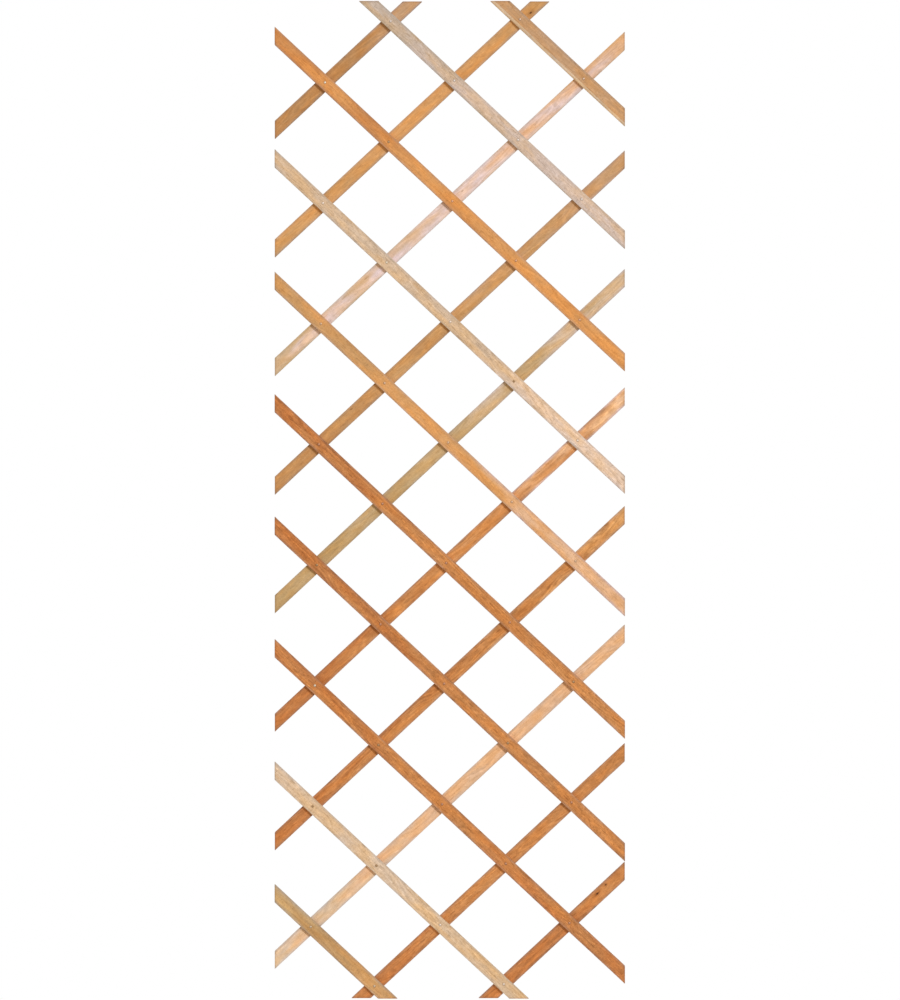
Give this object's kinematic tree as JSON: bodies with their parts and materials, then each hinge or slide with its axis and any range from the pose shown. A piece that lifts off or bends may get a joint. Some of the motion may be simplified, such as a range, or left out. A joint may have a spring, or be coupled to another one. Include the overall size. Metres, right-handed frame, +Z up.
{
  "type": "expanding wooden trellis panel",
  "caption": "Upright wooden lattice panel of crossed slats riveted at every crossing, which folds like scissors to grow tall or wide and carries climbing plants.",
  "frame": {"origin": "middle of the bottom edge, between the front and the back layer of slats", "axes": "+Z up along the panel's height, +X across its width to the right as seen from the front, +Y from the front towards the wall"},
  "size_m": [0.6318, 0.0122, 1.7998],
  "materials": {
    "pale_wood": "matte",
    "honey_wood": "matte",
    "fawn_wood": "matte",
    "russet_wood": "matte",
    "rivet_steel": "satin"
  },
  "bodies": {
    "centre_rivet": {"centre_rivet": "rivet_steel"},
    "front_1": {"front_slat_1": "fawn_wood", "rivets_1": "rivet_steel"},
    "front_2": {"front_slat_2": "pale_wood", "rivets_2": "rivet_steel"},
    "front_3": {"front_slat_3": "honey_wood", "rivets_3": "rivet_steel"},
    "front_4": {"front_slat_4": "pale_wood", "rivets_4": "rivet_steel"},
    "front_5": {"front_slat_5": "honey_wood", "rivets_5": "rivet_steel"},
    "front_6": {"front_slat_6": "russet_wood", "rivets_6": "rivet_steel"},
    "front_7": {"front_slat_7": "russet_wood", "rivets_7": "rivet_steel"},
    "front_8": {"front_slat_8": "russet_wood", "rivets_8": "rivet_steel"},
    "front_9": {"front_slat_9": "pale_wood", "rivets_9": "rivet_steel"},
    "front_10": {"front_slat_10": "fawn_wood", "rivets_10": "rivet_steel"},
    "back_1": {"back_slat_1": "russet_wood"},
    "back_2": {"back_slat_2": "fawn_wood"},
    "back_3": {"back_slat_3": "pale_wood"},
    "back_4": {"back_slat_4": "fawn_wood"},
    "back_5": {"back_slat_5": "fawn_wood"},
    "back_6": {"back_slat_6": "russet_wood"},
    "back_7": {"back_slat_7": "russet_wood"},
    "back_8": {"back_slat_8": "pale_wood"},
    "back_9": {"back_slat_9": "russet_wood"},
    "back_10": {"back_slat_10": "russet_wood"}
  },
  "joints": [
    {"name": "fold", "type": "hinge", "parent": "centre_rivet", "child": "front_5", "pos_m": [-0.00293, 0, 1.00322], "axis": [0, 1, 0], "range_deg": [-38, 42]},
    {"name": "back_5_pivot", "type": "hinge", "parent": "centre_rivet", "child": "back_5", "pos_m": [-0.00293, 0, 1.00322], "axis": [0, 1, 0], "range_deg": [-42, 38]},
    {"name": "back_3_pivot", "type": "hinge", "parent": "front_5", "child": "back_3", "pos_m": [-0.23257, 0, 1.21737], "axis": [0, 1, 0], "range_deg": [-84, 76]},
    {"name": "back_4_pivot", "type": "hinge", "parent": "front_5", "child": "back_4", "pos_m": [-0.11775, 0, 1.11029], "axis": [0, 1, 0], "range_deg": [-84, 76]},
    {"name": "back_6_pivot", "type": "hinge", "parent": "front_5", "child": "back_6", "pos_m": [0.1119, 0, 0.89615], "axis": [0, 1, 0], "range_deg": [-84, 76]},
    {"name": "back_7_pivot", "type": "hinge", "parent": "front_5", "child": "back_7", "pos_m": [0.22672, 0, 0.78907], "axis": [0, 1, 0], "range_deg": [-84, 76]},
    {"name": "front_3_pivot", "type": "hinge", "parent": "back_5", "child": "front_3", "pos_m": [0.23403, 0, 1.22419], "axis": [0, 1, 0], "range_deg": [-76, 84]},
    {"name": "front_4_pivot", "type": "hinge", "parent": "back_5", "child": "front_4", "pos_m": [0.11555, 0, 1.1137], "axis": [0, 1, 0], "range_deg": [-76, 84]},
    {"name": "front_6_pivot", "type": "hinge", "parent": "back_5", "child": "front_6", "pos_m": [-0.1214, 0, 0.89274], "axis": [0, 1, 0], "range_deg": [-76, 84]},
    {"name": "front_7_pivot", "type": "hinge", "parent": "back_5", "child": "front_7", "pos_m": [-0.23988, 0, 0.78225], "axis": [0, 1, 0], "range_deg": [-76, 84]},
    {"name": "back_2_pivot", "type": "hinge", "parent": "front_3", "child": "back_2", "pos_m": [-0.11043, 0, 1.54541], "axis": [0, 1, 0], "range_deg": [-84, 76]},
    {"name": "back_1_pivot", "type": "hinge", "parent": "front_3", "child": "back_1", "pos_m": [-0.22526, 0, 1.65248], "axis": [0, 1, 0], "range_deg": [-84, 76]},
    {"name": "front_1_pivot", "type": "hinge", "parent": "back_3", "child": "front_1", "pos_m": [0.24135, 0, 1.6593], "axis": [0, 1, 0], "range_deg": [-76, 84]},
    {"name": "front_2_pivot", "type": "hinge", "parent": "back_3", "child": "front_2", "pos_m": [0.12287, 0, 1.54882], "axis": [0, 1, 0], "range_deg": [-76, 84]},
    {"name": "back_8_pivot", "type": "hinge", "parent": "front_7", "child": "back_8", "pos_m": [0.10458, 0, 0.46103], "axis": [0, 1, 0], "range_deg": [-84, 76]},
    {"name": "back_9_pivot", "type": "hinge", "parent": "front_7", "child": "back_9", "pos_m": [0.21941, 0, 0.35396], "axis": [0, 1, 0], "range_deg": [-84, 76]},
    {"name": "front_8_pivot", "type": "hinge", "parent": "back_7", "child": "front_8", "pos_m": [-0.12872, 0, 0.45762], "axis": [0, 1, 0], "range_deg": [-76, 84]},
    {"name": "front_9_pivot", "type": "hinge", "parent": "back_7", "child": "front_9", "pos_m": [-0.2472, 0, 0.34714], "axis": [0, 1, 0], "range_deg": [-76, 84]},
    {"name": "front_10_pivot", "type": "hinge", "parent": "back_8", "child": "front_10", "pos_m": [-0.25085, 0, 0.12958], "axis": [0, 1, 0], "range_deg": [-76, 84]},
    {"name": "back_10_pivot", "type": "hinge", "parent": "front_8", "child": "back_10", "pos_m": [0.21575, 0, 0.1364], "axis": [0, 1, 0], "range_deg": [-84, 76]}
  ],
  "couplings": [
    {"joint": "back_5_pivot", "follows": "fold", "ratio": -1},
    {"joint": "back_3_pivot", "follows": "fold", "ratio": -2},
    {"joint": "back_4_pivot", "follows": "fold", "ratio": -2},
    {"joint": "back_6_pivot", "follows": "fold", "ratio": -2},
    {"joint": "back_7_pivot", "follows": "fold", "ratio": -2},
    {"joint": "front_3_pivot", "follows": "fold", "ratio": 2},
    {"joint": "front_4_pivot", "follows": "fold", "ratio": 2},
    {"joint": "front_6_pivot", "follows": "fold", "ratio": 2},
    {"joint": "front_7_pivot", "follows": "fold", "ratio": 2},
    {"joint": "back_2_pivot", "follows": "fold", "ratio": -2},
    {"joint": "back_1_pivot", "follows": "fold", "ratio": -2},
    {"joint": "front_1_pivot", "follows": "fold", "ratio": 2},
    {"joint": "front_2_pivot", "follows": "fold", "ratio": 2},
    {"joint": "back_8_pivot", "follows": "fold", "ratio": -2},
    {"joint": "back_9_pivot", "follows": "fold", "ratio": -2},
    {"joint": "front_8_pivot", "follows": "fold", "ratio": 2},
    {"joint": "front_9_pivot", "follows": "fold", "ratio": 2},
    {"joint": "front_10_pivot", "follows": "fold", "ratio": 2},
    {"joint": "back_10_pivot", "follows": "fold", "ratio": -2}
  ]
}
